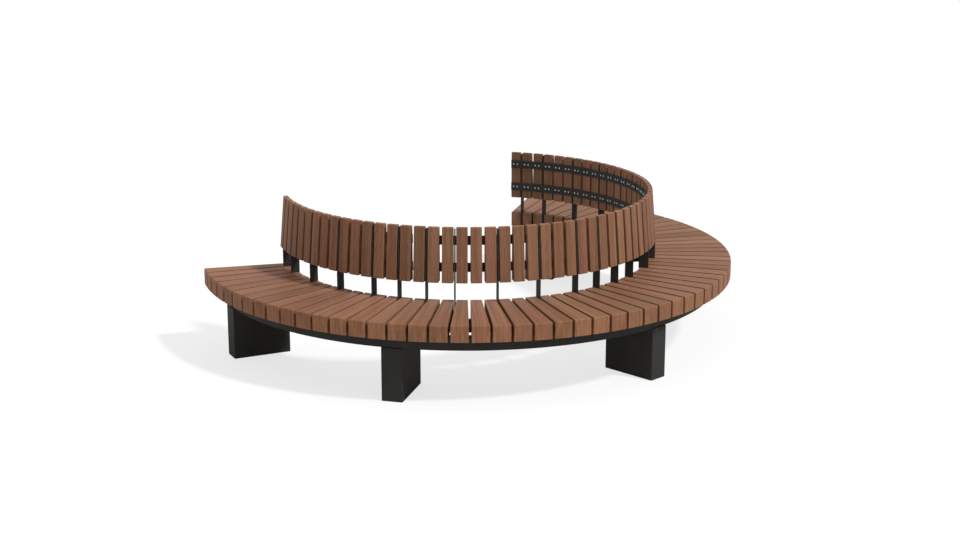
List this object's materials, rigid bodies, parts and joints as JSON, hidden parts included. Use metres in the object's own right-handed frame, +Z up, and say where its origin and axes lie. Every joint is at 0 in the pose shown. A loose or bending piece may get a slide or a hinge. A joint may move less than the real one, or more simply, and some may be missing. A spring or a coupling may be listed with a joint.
{
  "type": "tree bench",
  "caption": "Curved slatted bench that stands around a tree, with a hardwood seat and a leaning slatted back on black steel rails, posts, hoops and legs.",
  "frame": {"origin": "on the ground at the centre of the ring, where the trunk stands", "axes": "+Z up along the trunk; -Y from the trunk to the middle of the bench, so the bench is open towards +Y; +X to the right of a viewer who faces the middle of the bench"},
  "size_m": [3.1, 2.32, 0.847],
  "materials": {
    "hardwood": "oiled reddish-brown hardwood, planed and eased, fine straight grain",
    "black_steel": "matt near-black powder coat",
    "stainless_screw": "plain stainless heads",
    "galvanised_bolt": "dull zinc"
  },
  "bodies": {
    "root": {"back_posts_1": "black_steel", "back_posts_2": "black_steel", "back_posts_3": "black_steel", "back_posts_4": "black_steel", "back_screws_1": "stainless_screw", "back_screws_2": "stainless_screw", "back_screws_3": "stainless_screw", "back_screws_4": "stainless_screw", "back_slats_1": "hardwood", "back_slats_2": "hardwood", "back_slats_3": "hardwood", "back_slats_4": "hardwood", "foot_plate_1": "black_steel", "foot_plate_2": "black_steel", "foot_plate_3": "black_steel", "foot_plate_4": "black_steel", "foot_plate_5": "black_steel", "inner_rail_1": "black_steel", "inner_rail_2": "black_steel", "inner_rail_3": "black_steel", "inner_rail_4": "black_steel", "leg_1": "black_steel", "leg_2": "black_steel", "leg_3": "black_steel", "leg_4": "black_steel", "leg_5": "black_steel", "leg_bolts": "galvanised_bolt", "leg_top_plate_1": "black_steel", "leg_top_plate_2": "black_steel", "leg_top_plate_3": "black_steel", "leg_top_plate_4": "black_steel", "leg_top_plate_5": "black_steel", "lower_hoop_1": "black_steel", "lower_hoop_2": "black_steel", "lower_hoop_3": "black_steel", "lower_hoop_4": "black_steel", "outer_rail_1": "black_steel", "outer_rail_2": "black_steel", "outer_rail_3": "black_steel", "outer_rail_4": "black_steel", "rail_end_plates_1": "black_steel", "rail_end_plates_2": "black_steel", "rail_end_plates_3": "black_steel", "rail_end_plates_4": "black_steel", "seat_slats_1": "hardwood", "seat_slats_2": "hardwood", "seat_slats_3": "hardwood", "seat_slats_4": "hardwood", "upper_hoop_1": "black_steel", "upper_hoop_2": "black_steel", "upper_hoop_3": "black_steel", "upper_hoop_4": "black_steel"}
  },
  "joints": []
}
